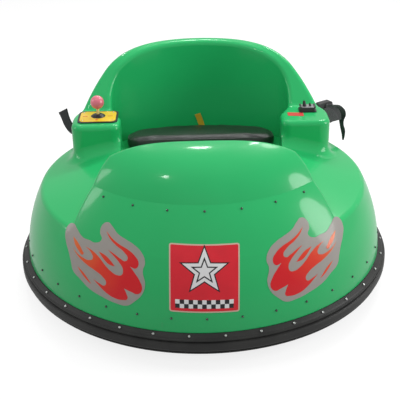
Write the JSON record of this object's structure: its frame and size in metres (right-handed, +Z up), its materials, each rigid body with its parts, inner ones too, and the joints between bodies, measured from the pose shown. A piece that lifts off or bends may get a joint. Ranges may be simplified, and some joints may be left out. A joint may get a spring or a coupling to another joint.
{
  "type": "bumper car",
  "caption": "Round battery bumper car for one child: glossy green shell with hood and wrap-round seat back, rubber bumper ring, two driven wheels and two swivel casters.",
  "frame": {"origin": "on the floor under the centre of the bumper ring", "axes": "+Z up, -Y the way the car drives, +X the rider's left"},
  "size_m": [1.1998, 1.2, 0.6529],
  "materials": {
    "green_laminate": "gloss gel coat over glass-fibre laminate",
    "black_rubber": "extruded rubber",
    "steel": "plated steel",
    "frame_paint": "satin black paint",
    "battery_case": "moulded case",
    "black_plastic": "moulded",
    "motor_casting": "die-cast",
    "zinc": "zinc plated pressed steel",
    "vinyl": "black vinyl",
    "yellow_webbing": "woven webbing",
    "yellow_plastic": "printed plate",
    "pale_plastic": "moulded",
    "pink_plastic": "moulded ball",
    "webbing": "woven webbing",
    "hub_plastic": "moulded",
    "tyre": "solid rubber",
    "caster_tread": "grey solid rubber"
  },
  "bodies": {
    "chassis": {"body_shell": "green_laminate", "cockpit_tub": "green_laminate", "bumper_ring": "black_rubber", "bumper_hoop": "steel", "chassis_rails": "frame_paint", "chassis_outriggers": "frame_paint", "battery_tray": "steel", "battery": "battery_case", "control_box": "black_plastic", "motor_plate_left": "steel", "motor_plate_right": "steel", "gear_motor_left": "motor_casting", "gear_motor_right": "motor_casting", "caster_mount_front": "frame_paint", "caster_mount_rear": "frame_paint", "caster_plate_front": "zinc", "caster_plate_rear": "zinc", "seat_cushion": "vinyl", "seat_tab": "yellow_webbing", "joystick_plate": "yellow_plastic", "joystick_boot": "black_plastic", "joystick_shaft": "pale_plastic", "joystick_ball": "pink_plastic", "switch_box": "black_plastic", "switch_lever": "black_plastic", "belt_bracket_left": "steel", "belt_bracket_right": "steel", "belt_strap_left": "webbing", "belt_strap_right": "webbing", "belt_buckle_left": "black_plastic", "charge_socket": "black_plastic"},
    "drive_wheel_left": {"drive_axle_left": "steel", "wheel_hub_left": "hub_plastic", "tyre_left": "tyre"},
    "drive_wheel_right": {"drive_axle_right": "steel", "wheel_hub_right": "hub_plastic", "tyre_right": "tyre"},
    "caster_swivel_front": {"caster_fork_front": "zinc", "caster_axle_front": "zinc"},
    "caster_roller_front": {"caster_wheel_front": "caster_tread"},
    "caster_swivel_rear": {"caster_fork_rear": "zinc", "caster_axle_rear": "zinc"},
    "caster_roller_rear": {"caster_wheel_rear": "caster_tread"}
  },
  "joints": [
    {"name": "drive_wheel_left_spin", "type": "hinge", "parent": "chassis", "child": "drive_wheel_left", "pos_m": [0.312, 0.195, 0.1], "axis": [1, 0, 0], "continuous": true},
    {"name": "drive_wheel_right_spin", "type": "hinge", "parent": "chassis", "child": "drive_wheel_right", "pos_m": [-0.312, 0.195, 0.1], "axis": [1, 0, 0], "continuous": true},
    {"name": "caster_front_swivel", "type": "hinge", "parent": "chassis", "child": "caster_swivel_front", "pos_m": [0, -0.442, 0.083], "axis": [0, 0, 1], "continuous": true},
    {"name": "caster_front_roll", "type": "hinge", "parent": "caster_swivel_front", "child": "caster_roller_front", "pos_m": [0, -0.414, 0.0375], "axis": [1, 0, 0], "continuous": true},
    {"name": "caster_rear_swivel", "type": "hinge", "parent": "chassis", "child": "caster_swivel_rear", "pos_m": [0, 0.442, 0.083], "axis": [0, 0, 1], "continuous": true},
    {"name": "caster_rear_roll", "type": "hinge", "parent": "caster_swivel_rear", "child": "caster_roller_rear", "pos_m": [0, 0.47, 0.0375], "axis": [1, 0, 0], "continuous": true}
  ]
}
